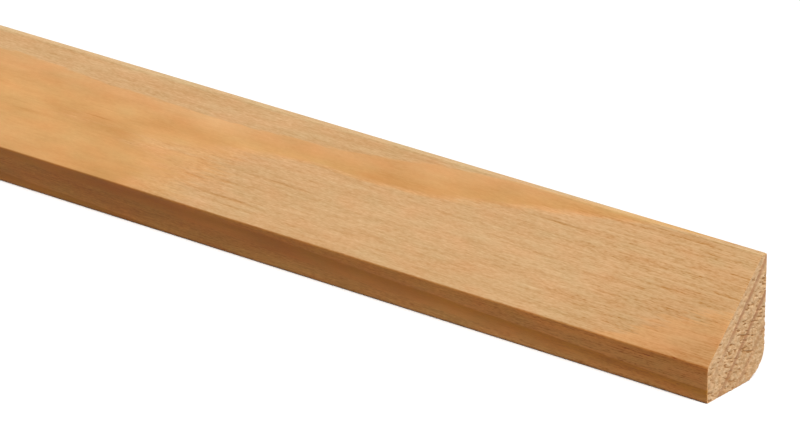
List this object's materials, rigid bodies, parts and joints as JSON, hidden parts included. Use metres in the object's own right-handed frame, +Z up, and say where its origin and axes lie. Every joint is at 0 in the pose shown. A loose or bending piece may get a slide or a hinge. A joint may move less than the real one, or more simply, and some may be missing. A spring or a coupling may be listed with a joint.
{
  "type": "glass bead moulding",
  "caption": "Long planed pine bead with a splayed face, a low front edge, a flat back for the glass and a rounded heel.",
  "frame": {"origin": "middle of the seat, at half the length, with z = 0 on the seat", "axes": "+X along the grain, +Y out of the back towards the glass, +Z up from the seat to the land"},
  "size_m": [2.4, 0.009, 0.012],
  "materials": {
    "pine": "matte"
  },
  "bodies": {
    "root": {"glass_bead": "pine"}
  },
  "joints": []
}
